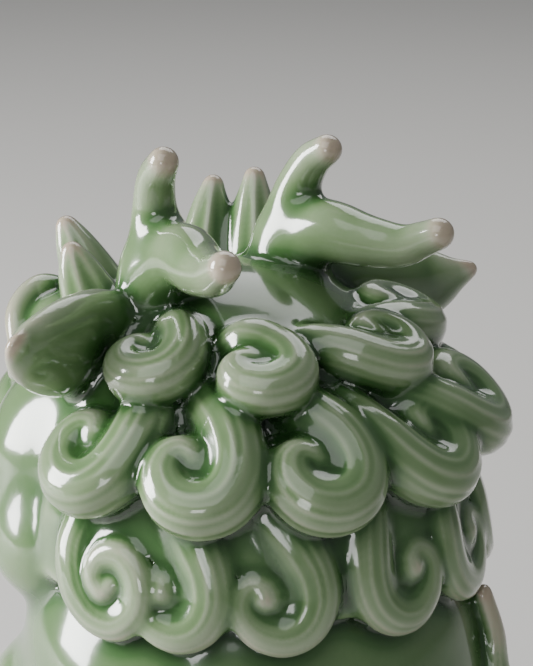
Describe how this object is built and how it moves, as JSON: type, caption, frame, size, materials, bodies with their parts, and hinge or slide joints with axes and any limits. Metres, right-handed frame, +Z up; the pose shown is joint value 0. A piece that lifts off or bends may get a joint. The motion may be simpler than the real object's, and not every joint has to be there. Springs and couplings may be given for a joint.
{
  "type": "foo dog statue",
  "caption": "Seated celadon-glazed foo dog figurine with curled mane, forked horns and flame brows, one paw on a ball, on a low plinth.",
  "frame": {"origin": "middle of the plinth's underside, which is also below the vertical axis of the head", "axes": "+Z up, the animal faces -Y, so +X is its own left side"},
  "size_m": [0.0964, 0.118, 0.1718],
  "materials": {
    "celadon_glaze": "high gloss"
  },
  "bodies": {
    "root": {"plinth": "celadon_glaze", "torso_shell": "celadon_glaze", "head_shell": "celadon_glaze", "mane_cape": "celadon_glaze", "mane_top_curl_1": "celadon_glaze", "mane_top_curl_2": "celadon_glaze", "mane_top_curl_3": "celadon_glaze", "mane_top_curl_4": "celadon_glaze", "mane_middle_curl_1": "celadon_glaze", "mane_middle_curl_2": "celadon_glaze", "mane_middle_curl_3": "celadon_glaze", "mane_middle_curl_4": "celadon_glaze", "mane_middle_curl_5": "celadon_glaze", "mane_middle_curl_6": "celadon_glaze", "mane_lower_curl_1": "celadon_glaze", "mane_lower_curl_2": "celadon_glaze", "mane_lower_curl_3": "celadon_glaze", "mane_lower_curl_4": "celadon_glaze", "mane_lower_curl_5": "celadon_glaze", "mane_lower_curl_6": "celadon_glaze", "mane_lower_curl_7": "celadon_glaze", "horn_left": "celadon_glaze", "horn_right": "celadon_glaze", "ear_left": "celadon_glaze", "ear_right": "celadon_glaze", "brow_left": "celadon_glaze", "brow_right": "celadon_glaze", "eye_left": "celadon_glaze", "eye_right": "celadon_glaze", "muzzle": "celadon_glaze", "nose": "celadon_glaze", "lower_jaw": "celadon_glaze", "tongue": "celadon_glaze", "upper_teeth": "celadon_glaze", "lower_teeth": "celadon_glaze", "beard": "celadon_glaze", "front_leg_left": "celadon_glaze", "front_leg_right": "celadon_glaze", "haunch_left": "celadon_glaze", "haunch_right": "celadon_glaze", "hind_paw_left": "celadon_glaze", "hind_paw_right": "celadon_glaze", "tail": "celadon_glaze", "brocade_ball": "celadon_glaze"}
  },
  "joints": []
}
